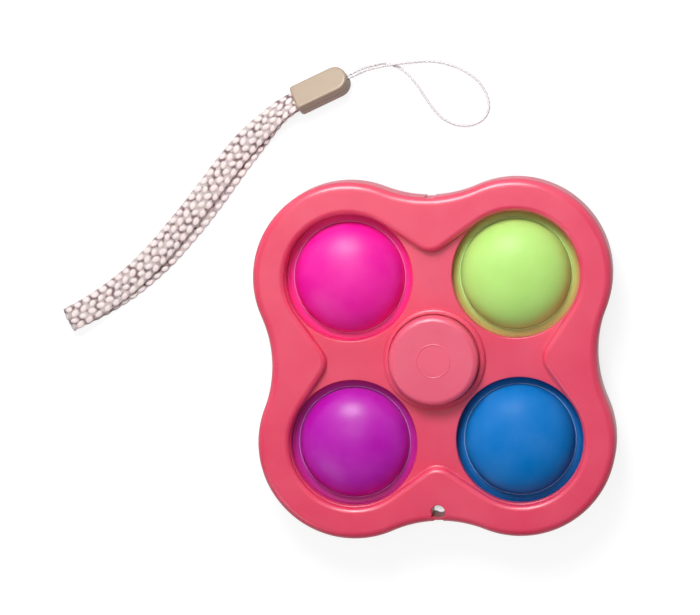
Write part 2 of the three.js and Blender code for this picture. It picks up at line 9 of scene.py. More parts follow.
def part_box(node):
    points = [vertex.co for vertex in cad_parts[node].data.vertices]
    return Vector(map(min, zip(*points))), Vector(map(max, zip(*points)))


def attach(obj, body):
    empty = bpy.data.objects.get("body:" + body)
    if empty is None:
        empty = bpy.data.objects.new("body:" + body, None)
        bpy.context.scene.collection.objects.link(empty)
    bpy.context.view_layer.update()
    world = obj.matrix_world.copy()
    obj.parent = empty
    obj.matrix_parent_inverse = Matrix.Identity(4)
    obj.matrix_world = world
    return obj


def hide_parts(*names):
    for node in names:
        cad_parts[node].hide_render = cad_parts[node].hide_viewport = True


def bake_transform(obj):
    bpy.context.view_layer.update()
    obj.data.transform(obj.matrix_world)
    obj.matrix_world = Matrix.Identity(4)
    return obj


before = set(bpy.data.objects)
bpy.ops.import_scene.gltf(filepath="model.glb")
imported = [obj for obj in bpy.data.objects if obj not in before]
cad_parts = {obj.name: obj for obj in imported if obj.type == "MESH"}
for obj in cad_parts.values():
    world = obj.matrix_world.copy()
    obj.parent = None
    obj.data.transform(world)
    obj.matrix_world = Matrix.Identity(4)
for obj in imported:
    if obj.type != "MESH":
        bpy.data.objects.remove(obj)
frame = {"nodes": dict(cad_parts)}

bl_info = {
    "name": "Bubble Spinner",
    "version": (1, 0, 0),
    "blender": (4, 5, 0),
    "location": "View3D > Sidebar > Spinner",
    "description": "Models the shells, caps, bubbles and wrist strap of a four-lobed spinner",
    "category": "Add Mesh",
}

MM = 0.001
WELD = 0.002 * MM  # corners closer than this become one
OVER = 1 * MM  # how far a cutter reaches past what it cuts
QUARTER = math.pi / 2
QUARTERS = [Matrix.Rotation(QUARTER * i, 3, "Z") for i in range(4)]
BEAD_ANGLES = [math.pi * i / 6 for i in range(7)]  # across a fine bead or ridge
UP = Vector((0, 0, 1))
NOISE_MIDDLE = (0.3, 0.7)  # most of a noise lies between these levels
SLOT_SHARE = 0.78  # how far the string slot goes below its hole's middle, in radii
COLOURS = ("pink", "green", "purple", "blue")
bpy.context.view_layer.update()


def middle_of(node):
    low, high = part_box(node)
    return (low + high) / 2


MIDDLE = (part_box("front_cap")[1].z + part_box("back_cap")[0].z) / 2
REACH = middle_of("green_bubble_dome").x
CENTRES = {colour: middle_of(colour + "_bubble_dome").xy for colour in COLOURS}


# Properties

def length(name, description, millimetres):
    return FloatProperty(
        name=name, description=description, default=millimetres * MM, unit="LENGTH", precision=5)


def turn(name, description, degrees):
    return FloatProperty(
        name=name, description=description, default=math.radians(degrees), unit="ROTATION")


def linear(level):
    share = level / 255
    return share / 12.92 if share <= 0.04045 else ((share + 0.055) / 1.055) ** 2.4


def colour(name, description, levels):
    return FloatVectorProperty(
        name=name, description=description, subtype="COLOR", size=3, min=0, max=1,
        default=[linear(level) for level in levels])


def spot(name, description, place):
    return FloatVectorProperty(
        name=name, description=description, subtype="XYZ", size=3, default=place, precision=5)


class FrameSizes(bpy.types.PropertyGroup):
    """Sizes of the two shells"""
    lobe_radius: length("Lobe radius", "Outside of each lobe", 24.1)
    waist_radius: length("Waist radius", "Hollow between two lobes", 30)
    rim_height: length("Rim height", "From the middle plane to the face of the rim", 6)
    rim_edge: length("Rim edge radius", "Rounding of the rim's outer edge", 2)
    notch_width: length("Notch width", "Slot in the top and bottom waists", 2.4)
    notch_depth: length("Notch depth", "Depth of that slot", 0.35)
    recess_depth: length("Recess depth", "From the rim's face down to the floor", 2.5)
    recess_radius: length("Recess radius", "Recess wall round each bubble", 16.2)
    recess_edge: length("Recess edge radius", "Rounding of the rim's inner edge", 1.3)
    recess_foot: length("Recess foot radius", "Rounding at the foot of the recess wall", 0.45)
    tip_reach: length("Tip reach", "From the hub to the rim's four tips", 27.201)
    tip_radius: length("Tip radius", "Rounding of those tips", 5)
    shell_wall: length("Shell wall", "Thickness of the outer wall", 1.8)
    floor_wall: length("Floor wall", "Thickness of the floor", 1.5)
    seam_gap: length("Seam gap", "Line between the two shells", 0.3)
    opening_radius: length("Opening radius", "Hole for each bubble", 15.95)
    opening_edge: length("Opening edge radius", "Rounding of that hole's edge", 0.25)
    collar_wall: length("Collar wall", "Tube that holds a bubble's flange", 1.6)
    post_reach: length("Post reach", "From the hub to the four posts", 32)
    post_radius: length("Post radius", "Posts that stand between the shells", 2.6)
    lanyard_reach: length("String hole reach", "From the hub to the string hole", 38.3)
    lanyard_radius: length("String hole radius", "Size of the string hole", 1.7)


class HubSizes(bpy.types.PropertyGroup):
    """Sizes of the hub ring and the finger caps"""
    bearing_radius: length("Bearing radius", "Seat of the bearing", 11.05)
    bearing_shoulder: length("Bearing shoulder", "From the middle plane to the lip over it", 3.55)
    wall: length("Hub wall", "Wall round the bearing", 0.85)
    ring_radius: length("Ring radius", "Raised ring round the cap", 12.8)
    ring_height: length("Ring height", "From the middle plane to that ring's top", 4.8)
    ring_edge: length("Ring edge radius", "Rounding of that ring", 0.75)
    lip_radius: length("Lip radius", "Hole in the lip over the bearing", 10.2)
    well_depth: length("Well depth", "How far the cap sinks into the ring", 0.8)
    cap_radius: length("Cap radius", "Finger cap", 11.25)
    cap_height: length("Cap height", "From the middle plane to the cap's top", 8.5)
    cap_edge: length("Cap edge radius", "Rounding of the cap", 1.5)
    cap_wall: length("Cap wall", "Thickness of the cap", 1.5)
    cap_gap: length("Cap gap", "Running gap under the skirt", 0.4)
    well_gap: length("Well gap", "Running gap round the skirt", 0.22)
    boss_radius: length("Boss radius", "Shoulder on the bearing's inner ring", 5.6)
    stem_radius: length("Stem radius", "Stem in the bearing's bore", 3.95)
    mark_radius: length("Mark radius", "Round moulding mark on the cap", 4.15)
    mark_height: length("Mark height", "How far that mark stands up", 0.1)


class BubbleSizes(bpy.types.PropertyGroup):
    """Sizes of the silicone bubbles"""
    radius: length("Radius", "Foot of the dome", 13.8)
    height: length("Height", "From the middle plane to the dome's top", 8.2)
    wall: length("Wall", "Thickness of the silicone", 1.2)
    web: length("Web thickness", "Thin ring round the dome", 0.9)
    web_radius: length("Web radius", "Where the web meets the flange", 15.15)
    flange_radius: length("Flange radius", "Edge held by the shells", 17.2)
    flange: length("Flange thickness", "Thickness of that edge", 1.2)
    bead: length("Bead", "Fine bead round the foot of the dome", 0.3)


class StrapSizes(bpy.types.PropertyGroup):
    """Sizes of the wrist strap"""
    tape_width: length("Tape width", "Braided tape", 6.3)
    tape_end_width: length("Tape end width", "Tape where the clip pinches it", 5.2)
    tape_thickness: length("Tape thickness", "Thickness over the stitches", 1)
    tape_fan: length("Tape fan", "How far the two layers slide apart", 1.05)
    fold_radius: length("Fold radius", "Bend at the far end of the loop", 1.4)
    layer_gap: length("Layer gap", "Air between the layers", 0.06)
    rise_length: length("Rise length", "Length over which the tape rises to the clip", 18)
    settle_length: length("Settle length", "Length over which the fold closes", 13)
    stitch_pitch: length("Stitch pitch", "From one stitch to the next", 2.6)
    stitch_columns: IntProperty(
        name="Stitch columns", description="Columns of stitches across the tape", default=4, min=3)
    string_diameter: length("String diameter", "Thin cord of the loop", 0.65)
    string_spacing: length("String spacing", "Between the string's two ends", 0.8)
    string_twist: length("String twist", "Length of one turn of the plies", 2.4)
    clip_length: length("Clip length", "Two-part clip", 14.6)
    clip_width: length("Clip width", "Width of the clip", 6.6)
    clip_thickness: length("Clip thickness", "Both halves together", 5)
    clip_edge: length("Clip edge radius", "Rounding of the clip", 0.6)
    clip_corner: length("Clip corner radius", "Corners at the tape's end", 0.85)
    clip_split: length("Clip split", "Line between the halves", 0.14)
    gap: length("Gap", "Clearance round the tape and the string", 0.3)
    clip_x: length("Clip X", "Middle of the clip", -27.1)
    clip_y: length("Clip Y", "Middle of the clip", 67.8)
    clip_heading: turn("Clip heading", "Which way the string leaves", 24)
    clip_roll: turn("Clip roll", "The clip leans on one edge", 28)


class Colours(bpy.types.PropertyGroup):
    """Colours of the spinner and the strap"""
    frame: colour("Shells", "Coral plastic", (238, 67, 104))
    cap: colour("Caps", "Coral plastic of the finger caps", (243, 94, 126))
    pink: colour("Pink bubble", "Silicone", (246, 14, 168))
    green: colour("Green bubble", "Silicone", (190, 238, 128))
    purple: colour("Purple bubble", "Silicone", (190, 8, 184))
    blue: colour("Blue bubble", "Silicone", (0, 124, 206))
    tape: colour("Tape", "Stitches of the tape", (251, 234, 232))
    # painted shade in the pits between the stitches
    tape_pit_shade: colour("Tape pits", "Between the stitches", (142, 116, 119))
    string: colour("String", "Nylon string", (238, 231, 233))
    clip: colour("Clip", "Beige plastic", (177, 155, 131))
    steel: colour("Steel", "Bearing rings and shields", (186, 190, 196))
    cage: colour("Cage", "Nylon cage of the bearing", (226, 220, 202))


class View(bpy.types.PropertyGroup):
    """Camera of the main view"""
    eye: spot("Eye", "Where the camera stands", (0.07805, 0.11912, 1.02560))
    forward: spot("Forward", "Which way it looks", (-0.09654, -0.10323, -0.98996))
    upward: spot("Upward", "The top of the picture", (0.02013, 0.99420, -0.10563))
    lens: FloatProperty(name="Lens", description="Focal length", default=210.42, unit="CAMERA")


SETTINGS = {
    "spinner_frame": FrameSizes,
    "spinner_hub": HubSizes,
    "spinner_bubble": BubbleSizes,
    "spinner_strap": StrapSizes,
    "spinner_colours": Colours,
    "spinner_view": View,
}


# Small sizes, and how many faces go along or round each part

POST_INSET = 1.2 * MM  # from the rim's face to a post's top
STRING_HOLE_EDGE = 0.3 * MM
FLANGE_SEAT = 0.75 * MM  # from the middle plane to the foot of a collar
PIN_RADIUS = 2 * MM  # the pin that joins the caps
PIN_REACH = 2.6 * MM
PIN_GAP = 0.1 * MM
STRING_HOLE_WALL = 0.8 * MM
TAPE_INSET = 3.4 * MM  # tape held inside the clip
SLOT_DEPTH = 4 * MM
CHANNEL_DEPTH = 2.6 * MM
WELL_BEVEL = 0.15 * MM
CAP_BEVEL = 0.2 * MM
FLANGE_BEVEL = 0.25 * MM
WEB_BEND = 0.3 * MM  # where the web bends up to the flange
WEB_SHADE = 1.6 * MM  # over how much of the web, out from the bead, the painted shade and red bounce light deepen its colour
LOBE_STEPS, WAIST_STEPS, TIP_STEPS = 56, 20, 10
EDGE_STEPS, CAP_EDGE_STEPS, CLIP_EDGE_STEPS = 7, 8, 6
OPENING_STEPS, POST_STEPS, STRING_HOLE_STEPS, HUB_STEPS = 112, 32, 48, 128
BUBBLE_STEPS, DOME_STEPS = 120, 26
CLIP_CORNER_STEPS, CLIP_NOSE_STEPS = 8, 40
ROUTE_STEPS = 24  # from one point of a route to the next


# Modelling by hand: lines are drawn, turned and swept, and closed shapes are cut with each other

def put_down():
    if bpy.context.object and bpy.context.object.mode != "OBJECT":
        bpy.ops.object.mode_set(mode="OBJECT")
    bpy.ops.object.select_all(action="DESELECT")


def pick_up(piece):
    put_down()
    piece.select_set(True)
    bpy.context.view_layer.objects.active = piece


def draw_line(name, points):
    """Draw a line of edges through points, and stay in edit mode with the line selected."""
    put_down()
    bpy.ops.mesh.primitive_plane_add(size=MM)
    piece = bpy.context.object
    piece.name = piece.data.name = name
    bpy.ops.object.mode_set(mode="EDIT")
    bpy.ops.mesh.merge(type="CENTER")
    bpy.ops.transform.translate(value=points[0])
    for start, end in zip(points, points[1:]):
        bpy.ops.mesh.extrude_vertices_move(TRANSFORM_OT_translate={"value": end - start})
    bpy.ops.mesh.select_all(action="SELECT")
    bpy.ops.mesh.remove_doubles(threshold=WELD)
    return piece


def close_up():
    """Weld the seams, fill the ends and turn the faces outwards."""
    bpy.ops.mesh.select_all(action="SELECT")
    bpy.ops.mesh.remove_doubles(threshold=WELD)
    bpy.ops.mesh.fill_holes(sides=0)
    bpy.ops.mesh.select_all(action="SELECT")
    bpy.ops.mesh.normals_make_consistent(inside=False)
    bpy.ops.object.mode_set(mode="OBJECT")


def turned(name, profile, steps, x=0.0, y=0.0, ring=False):
    """Turn a profile of radius and height about an upright axis."""
    points = [Vector((x + radius, y, height)) for radius, height in profile]
    if ring:
        points.append(points[0])
    piece = draw_line(name, points)
    bpy.ops.mesh.spin(steps=steps, angle=math.tau, center=(x, y, 0), axis=UP)
    close_up()
    return piece


def swept(name, points, moves):
    """Sweep a line along arcs of (centre, angle, steps) and straight moves of (step,)."""
    piece = draw_line(name, points)
    for move in moves:
        if len(move) == 1:
            bpy.ops.mesh.extrude_region_move(TRANSFORM_OT_translate={"value": move[0]})
        else:
            centre, angle, steps = move
            bpy.ops.mesh.spin(
                steps=steps, angle=-angle, use_auto_merge=False, center=centre, axis=UP)
    close_up()
    return piece


def boxed(name, low, high):
    """Add a block between two corners, as a tool to cut with."""
    put_down()
    bpy.ops.mesh.primitive_cube_add(size=1, location=(low + high) / 2, scale=high - low)
    bpy.ops.object.transform_apply(location=True, rotation=True, scale=True)
    bpy.context.object.name = name
    return bpy.context.object


def combine(piece, tool, operation="DIFFERENCE"):
    """Cut a tool out of a piece, or join the two."""
    before = len(piece.data.vertices)
    pick_up(piece)
    bpy.ops.object.modifier_add(type="BOOLEAN")
    step = piece.modifiers[-1]
    step.operation = operation
    step.solver = "MANIFOLD"
    step.object = tool
    bpy.ops.object.modifier_apply(modifier=step.name)
    if len(piece.data.vertices) in (0, before):
        raise RuntimeError(f"{tool.name} changed nothing on {piece.name}")
    bpy.data.objects.remove(tool)


def rounding(radius, start, height, steps, inwards=1):
    """Places across a rounded edge from its start up to a height."""
    return [
        (start + inwards * radius * (1 - math.cos(angle)), height - radius * (1 - math.sin(angle)))
        for angle in [QUARTER * i / steps for i in range(1, steps + 1)]]


def placed(piece, location=(0, 0, 0), rotation=(0, 0, 0)):
    """Set a piece in its place, and keep the place in its mesh."""
    pick_up(piece)
    piece.location = location
    piece.rotation_euler = rotation
    bpy.ops.object.transform_apply(location=True, rotation=True, scale=True)


def smoothed(piece, degrees=32):
    """Smooth the shading up to an angle, with flat faces kept flat."""
    pick_up(piece)
    bpy.ops.object.shade_smooth_by_angle(angle=math.radians(degrees))
    bpy.ops.object.modifier_add(type="WEIGHTED_NORMAL")
    step = piece.modifiers[-1]
    step.keep_sharp = True
    bpy.ops.object.modifier_apply(modifier=step.name)


def dressed(piece, material):
    piece.data.materials.clear()
    piece.data.materials.append(material)


# Materials

class Graph:
    """The nodes of a material or of the surroundings, with short words for those in use."""

    def __init__(self, tree):
        self.nodes = tree.nodes
        self.links = tree.links

    def join(self, value, socket):
        """Link another node's output to a socket, or give the socket a value of its own."""
        if isinstance(value, bpy.types.NodeSocket):
            self.links.new(value, socket)
        else:
            socket.default_value = value

    def node(self, kind, *values, **named):
        """Add a node, and fill its sockets in their order or by their names."""
        node = self.nodes.new("ShaderNode" + kind)
        for socket, value in zip(node.inputs, values):
            self.join(value, socket)
        for name, value in named.items():
            self.join(value, node.inputs[name.replace("_", " ")])
        return node

    def maths(self, operation, first, second):
        node = self.node("Math", first, second)
        node.operation = operation
        return node.outputs[0]

    def spread(self, source, low, high, start=0.0, end=1.0, easing="LINEAR"):
        """Stretch what lies from start to end over low to high."""
        node = self.node(
            "MapRange", Value=source, From_Min=start, From_Max=end, To_Min=low, To_Max=high)
        node.interpolation_type = easing
        return node.outputs["Result"]


class Finish(Graph):
    """A material with its shader, and the patterns that feed it."""

    def __init__(self, name):
        self.material = bpy.data.materials.new(name)
        self.material.use_nodes = True
        super().__init__(self.material.node_tree)
        self.shader = self.nodes["Principled BSDF"]
        self.places = self.node("TexCoord").outputs["Object"]

    def set(self, **values):
        for name, value in values.items():
            self.join(value, self.shader.inputs[name.replace("_", " ")])

    def noise(self, size, detail, roughness=0.5, places=None):
        return self.node(
            "TexNoise", Vector=places or self.places, Scale=1 / size, Detail=detail,
            Roughness=roughness).outputs["Fac"]

    def patches(self, size, detail, roughness=0.5, low=0.0, high=1.0):
        """A noise with its middle stretched over low to high."""
        return self.spread(self.noise(size, detail, roughness), low, high, *NOISE_MIDDLE)

    def attribute(self, name):
        node = self.node("Attribute")
        node.attribute_name = name
        return node.outputs["Fac"]

    def threads(self):
        """Places on the flattened tape or string."""
        node = self.node("UVMap")
        node.uv_map = "threads"
        return node.outputs["UV"]

    def mix(self, factor, first, second):
        node = self.nodes.new("ShaderNodeMix")
        node.data_type = "RGBA"
        self.join(factor, node.inputs["Factor"])
        colours = [socket for socket in (*node.inputs, *node.outputs) if socket.type == "RGBA"]
        for value, socket in zip((first, second), colours):
            self.join(value, socket)
        return colours[-1]

    def relief(self, source, height, **under):
        """A bump of this height, on top of another one where it is given as Normal."""
        bump = self.node("Bump", Strength=1, Distance=height, Height=source, **under)
        return bump.outputs["Normal"]


def shade(levels, share):
    """A colour made darker below 1, or paler above it."""
    if share <= 1:
        return (*[level * share for level in levels], 1)
    return (*[level + (1 - level) * (share - 1) for level in levels], 1)


def moulded_plastic(name, levels, roughness, softness=0.45):
    """Injection-moulded plastic: faint flow marks, a fine grain and a soft depth."""
    finish = Finish(name)
    flow = finish.patches(14 * MM, 3)
    sink = finish.relief(finish.noise(9 * MM, 1), 0.04 * MM)
    finish.set(
        Base_Color=finish.mix(flow, shade(levels, 0.95), shade(levels, 1.03)),
        Roughness=finish.patches(5 * MM, 4, 0.6, roughness - 0.02, roughness + 0.06),
        Normal=finish.relief(finish.noise(0.25 * MM, 2), 0.002 * MM, Normal=sink),
        Subsurface_Weight=softness, Subsurface_Radius=(1, 0.15, 0.2), Subsurface_Scale=3 * MM,
        Specular_IOR_Level=0.85)
    return finish.material


def silicone(name, levels, gloss, roughness):
    """Satin silicone: a deeper, redder web, partly thinner silicone and partly painted shade, a
    painted highlight along the fold, and fine specks.
    """
    finish = Finish(name)
    # the web's colour: partly the thin silicone, partly painted shade and red bounce light from
    # the coral opening round it
    web = [level * tint for level, tint in zip(levels, (1, 0.34, 0.42))]
    body = finish.mix(finish.patches(8 * MM, 2), shade(levels, 0.95), shade(levels, 1.02))
    body = finish.mix(finish.attribute("web"), body, (*web, 1))
    # painted highlight along the bead at the dome's foot
    body = finish.mix(finish.attribute("fold"), body, shade(levels, 1.2))
    speck = finish.spread(finish.noise(0.5 * MM, 1), 0, 0.1, 0.68, 0.8)
    finish.set(
        Base_Color=finish.mix(speck, body, shade(levels, 1.4)),
        Roughness=finish.patches(3 * MM, 4, 0.65, roughness, roughness + 0.06),
        Normal=finish.relief(finish.noise(0.4 * MM, 3), 0.003 * MM),
        Subsurface_Weight=0.4, Subsurface_Radius=(1, 0.8, 0.8), Subsurface_Scale=2 * MM,
        Specular_IOR_Level=gloss)
    return finish.material


def braid(name, levels, pit_shade_levels):
    """Knitted tape: pale stitch tops, with painted shade on their flanks and in the pits, and fine
    threads along each stitch.
    """
    finish = Finish(name)
    stitch = finish.attribute("stitch")
    along = finish.node("Mapping", Vector=finish.threads(), Scale=(1, 0.16, 1)).outputs["Vector"]
    threads = finish.noise(0.16 * MM, 2, 0.6, along)
    strands = finish.spread(threads, 0, 1, *NOISE_MIDDLE)
    top = finish.mix(strands, shade(levels, 0.9), shade(levels, 1.15))
    # painted shade on the stitches' flanks
    side = finish.mix(finish.spread(stitch, 0, 1, 0, 0.5), shade(levels, 0.68), top)
    # painted shade in the pits, darker in some patches than in others
    pit_shade_patches = finish.spread(finish.noise(1.6 * MM, 1), 0, 1, 0.42, 0.56)
    pit_shade = finish.mix(pit_shade_patches, shade(pit_shade_levels, 0.8), shade(levels, 0.62))
    finish.set(
        Base_Color=finish.mix(finish.spread(stitch, 0, 1, -0.6, 0.1), pit_shade, side),
        Roughness=finish.spread(threads, 0.55, 0.8), Normal=finish.relief(threads, 0.03 * MM),
        Sheen_Weight=0.05, Subsurface_Weight=0.1, Subsurface_Scale=0.4 * MM,
        Specular_IOR_Level=0.3)
    return finish.material


def nylon(name, levels):
    """Thin twisted nylon, with threads that follow the twist."""
    finish = Finish(name)
    threads = finish.noise(0.1 * MM, 2, 0.6, finish.threads())
    finish.set(
        Base_Color=finish.mix(threads, shade(levels, 0.85), shade(levels, 1.3)),
        Roughness=finish.spread(threads, 0.3, 0.5), Normal=finish.relief(threads, 0.01 * MM),
        Specular_IOR_Level=0.4)
    return finish.material


def ground_steel(name, levels, roughness):
    """Ground steel with fine marks."""
    finish = Finish(name)
    marks = finish.noise(0.4 * MM, 3)
    finish.set(
        Base_Color=finish.mix(marks, shade(levels, 0.85), shade(levels, 1.05)),
        Roughness=finish.spread(marks, roughness - 0.06, roughness + 0.1), Metallic=1)
    return finish.material


# Routes of the tape and the string

class Route:
    """A smooth line through points, measured along its length."""

    def __init__(self, points):
        spans = [points[0] * 2 - points[1], *points, points[-1] * 2 - points[-2]]
        self.line = [points[0].copy()]
        for before, start, end, after in zip(spans, spans[1:], spans[2:], spans[3:]):
            first = (start - before).length ** 0.5
            second = (end - start).length ** 0.5
            third = (after - end).length ** 0.5
            step = (end - start) / second
            leave = (start - before) / first - (end - before) / (first + second) + step
            arrive = step - (after - start) / (second + third) + (after - end) / third
            leave, arrive = leave * second, arrive * second
            for i in range(1, ROUTE_STEPS + 1):
                t = i / ROUTE_STEPS
                self.line.append(
                    start * (2 * t ** 3 - 3 * t ** 2 + 1) + leave * (t ** 3 - 2 * t ** 2 + t)
                    + end * (3 * t ** 2 - 2 * t ** 3) + arrive * (t ** 3 - t ** 2))
        self.marks = [0.0]
        for start, end in zip(self.line, self.line[1:]):
            self.marks.append(self.marks[-1] + (end - start).length)
        self.length = self.marks[-1]

    def place(self, travel):
        travel = min(max(travel, 0.0), self.length)
        high = min(bisect_right(self.marks, travel), len(self.marks) - 1)
        low = high - 1
        share = (travel - self.marks[low]) / (self.marks[high] - self.marks[low])
        return self.line[low].lerp(self.line[high], share)

    def heading(self, travel):
        step = 0.4 * MM
        start = min(max(travel - step, 0.0), self.length - 2 * step)
        return (self.place(start + 2 * step) - self.place(start)).normalized()


def smooth_step(share):
    held = min(max(share, 0.0), 1.0)
    return held * held * (3 - 2 * held)


def clip_height(strap):
    """How high the middle of the leaning clip lies when its lower edge is on the table."""
    wide = (strap.clip_width / 2 - strap.clip_edge) * math.sin(strap.clip_roll)
    thick = (strap.clip_thickness / 2 - strap.clip_edge) * math.cos(strap.clip_roll)
    return wide + thick + strap.clip_edge


def clip_point(strap, along):
    """A point on the clip's axis, so far from its middle."""
    return Vector((
        strap.clip_x + along * math.cos(strap.clip_heading),
        strap.clip_y + along * math.sin(strap.clip_heading),
        clip_height(strap)))


# The knitted tape and the twisted string

TAPE_STEP = 0.19 * MM  # between two rings of the tape's mesh
TAPE_SIDES = 30  # faces across the top of the tape, and as many below
STRING_STEP = 0.16 * MM
STRING_SIDES = 14
PLY_RELIEF = 0.12  # how much of the string's radius its plies take
STITCH_SHIFT = 0.38  # how far every second column of stitches is shifted, in stitches
STITCH_LEAN = math.radians(19)
STITCH_LENGTH = 0.37  # of half a stitch, in stitches
STITCH_BREADTH = 0.42  # of half a stitch, in columns
UNEVENNESS = 0.1
SCALLOP = 0.035  # how much the tape's edges wave with the stitches
GATHERING = 0.35  # how much the mesh is gathered towards the tape's edges
STITCH_RELIEF = 0.38  # how much of the tape's thickness the stitches take
PIT_LEVEL = -0.3  # below this a pit goes on down
SELVEDGE, SELVEDGE_LEVEL = 0.9, -0.15  # where the tape's edge starts, and its lowest level, which also lightens the painted pit shade there
ROUND_EDGE, FLAT_EDGE = 2.4, 16  # how full the tape is at its edges, above and below

# The tape set out from the clip's mouth, and the string from its round end, in millimetres
TAPE_ROUTE = (
    (-58.53, -53.51), (-53.67, -51.17), (-48.72, -48.34), (-44.38, -45.41), (-40.24, -42.07),
    (-35.69, -37.94), (-31.36, -33.3), (-26.92, -28.26), (-22.69, -23.12), (-18.86, -18.18),
    (-14.83, -13.24), (-11.5, -9.51), (-7.87, -5.88), (-4.33, -2.65),
)
STRING_ROUTE = (
    (1.51, 0.14, 3.45), (3.18, 0.9, 2.45), (5.05, 1.54, 1.5), (7.16, 2, 1.25),
    (9.19, 2.36, 1.35), (11.01, 2.61, 1.45), (13.02, 2.82, 1.25), (15.42, 3.05, 0.75),
    (19.43, 3.22, 0.36), (23.57, 2.73, 0.36), (28.61, 0.83, 0.36), (32.34, -1.97, 0.36),
    (34.36, -5.07, 0.36), (35.07, -8.18, 0.36), (34.46, -10.49, 0.36), (32.65, -12.3, 0.36),
    (29.53, -13.21, 0.36), (26.51, -12.82, 0.36), (23.48, -11.33, 0.36), (20.96, -8.63, 0.36),
    (19.24, -6.02, 0.36), (17.22, -2.86, 0.36), (15.3, -0.41, 0.36), (13.28, 1.39, 0.36),
    (10.95, 2.54, 0.36), (8.73, 3.04, 0.36), (7.03, 2.75, 0.42), (4.89, 2.28, 0.8),
    (2.93, 1.62, 1.75), (1.2, 0.83, 2.9),
)


def tape_stations(strap):
    """Middle, width direction, outward direction and width, round the fold and back."""
    mouth = clip_point(strap, -strap.clip_length / 2)
    on_table = [Vector((mouth.x + x * MM, mouth.y + y * MM, 0)) for x, y in TAPE_ROUTE]
    inner_end = clip_point(strap, strap.gap + TAPE_INSET - strap.clip_length / 2)
    route = Route([*on_table, Vector((*mouth.xy, 0)), Vector((*inner_end.xy, 0))])
    rise_start = route.length - TAPE_INSET - strap.rise_length
    high = 2 * strap.fold_radius
    close = strap.tape_thickness + strap.layer_gap
    held = clip_height(strap)

    def station(travel, layer):
        place = route.place(travel)
        heading = route.heading(travel)
        lift = smooth_step((travel - rise_start) / strap.rise_length)
        roll = strap.clip_roll * lift
        side = Vector((-heading.y, heading.x, 0))
        across = side * math.cos(roll) - UP * math.sin(roll)
        upward = side * math.sin(roll) + UP * math.cos(roll)
        apart = high + (close - high) * smooth_step(travel / strap.settle_length)
        table = strap.tape_thickness / 2 + (apart if layer > 0 else 0)
        fan = layer * strap.tape_fan * math.sin(math.pi * travel / route.length)
        place = place + side * (fan * (1 - lift))
        place.z = table * (1 - lift) + held * lift
        place = place + upward * (layer * close / 2 * lift)
        width = strap.tape_width + (strap.tape_end_width - strap.tape_width) * lift
        return place, across, upward * layer, width

    steps = round(route.length / TAPE_STEP)
    upper = [station(route.length * (1 - i / steps), 1) for i in range(steps + 1)]
    lower = [station(route.length * i / steps, -1) for i in range(steps + 1)]
    nose = route.place(0)
    heading = route.heading(0)
    side = Vector((-heading.y, heading.x, 0))
    middle = Vector((nose.x, nose.y, strap.tape_thickness / 2 + strap.fold_radius))
    bend = round(math.pi * strap.fold_radius / TAPE_STEP)
    bend += bend % 2
    fold = []
    for i in range(1, bend):
        angle = math.pi * i / bend
        outward = UP * math.cos(angle) - heading * math.sin(angle)
        fold.append((middle + outward * strap.fold_radius, side, outward, strap.tape_width))
    half = bend // 2
    return upper + fold[:half], fold[half - 1:] + lower


def stitch_height(strap, travel, across, width):
    """Level of the knitted surface from -1 in a pit to 1 on a stitch, in leaning ovals."""
    spacing = width / strap.stitch_columns
    nearest = math.floor((across + width / 2) / spacing - 0.5)
    best = -1.0
    for column in range(max(nearest - 1, 0), min(nearest + 3, strap.stitch_columns)):
        odd = column % 2
        offset = across + width / 2 - (column + 0.5) * spacing
        phase = travel / strap.stitch_pitch - STITCH_SHIFT * odd
        lean = STITCH_LEAN if odd else -STITCH_LEAN
        for stitch in (math.floor(phase), math.floor(phase) + 1):
            along = (phase - stitch) * strap.stitch_pitch
            size = 1 + UNEVENNESS * math.sin(7.1 * stitch + 3.3 * column)
            u = along * math.cos(lean) + offset * math.sin(lean)
            v = offset * math.cos(lean) - along * math.sin(lean)
            u /= STITCH_LENGTH * strap.stitch_pitch * size
            v /= STITCH_BREADTH * spacing * size
            best = max(best, 1 - u ** 2 - v ** 2)
    return best


def ring_faces(rings, around):
    """Faces between rings of places that are closed on themselves."""
    return [
        (ring * around + i, ring * around + (i + 1) % around,
         (ring + 1) * around + (i + 1) % around, (ring + 1) * around + i)
        for ring in range(rings - 1) for i in range(around)]


def tape_run(name, strap, stations, start):
    """One layer of the tape as a closed knitted strip, with its stitches in the mesh."""
    travel = start
    before = stations[0][0]
    places, stitches, threads, path = [], [], [], []
    for middle, across, outward, width in stations:
        travel += (middle - before).length
        before = middle
        path.append(middle)
        scallop = SCALLOP * math.cos(math.tau * travel / strap.stitch_pitch)
        for layer, fullness in ((1, ROUND_EDGE), (-1, FLAT_EDGE)):
            for i in range(TAPE_SIDES):
                share = layer * (2 * (i + 0.5) / TAPE_SIDES - 1)
                reach = math.sin(share * QUARTER) * GATHERING + share * (1 - GATHERING)
                crown = (1 - abs(reach) ** fullness) ** 0.5
                height = stitch_height(strap, travel, reach * width / 2, width)
                if abs(reach) > SELVEDGE:
                    height = max(height, SELVEDGE_LEVEL)
                bulge = math.sqrt(max(height, 0.0)) if height > PIT_LEVEL else height / 2
                level = 1 - STITCH_RELIEF + STITCH_RELIEF * bulge
                lift = layer * strap.tape_thickness / 2 * crown * level
                spread = reach * width / 2 * (1 + scallop * abs(reach))
                places.append(middle + across * spread + outward * lift)
                # the stitch level also sets the painted shade of the pits and flanks in the
                # braid's finish
                stitches.append(height)
                threads.append((reach * width / 2, travel))
    around = TAPE_SIDES * 2
    faces = ring_faces(len(stations), around)
    for foot in (0, (len(stations) - 1) * around):
        for i in range(TAPE_SIDES - 1):
            faces.append((foot + i, foot + i + 1, foot + around - 2 - i, foot + around - 1 - i))
    return knitted(name, places, faces, stitches, threads), path, travel


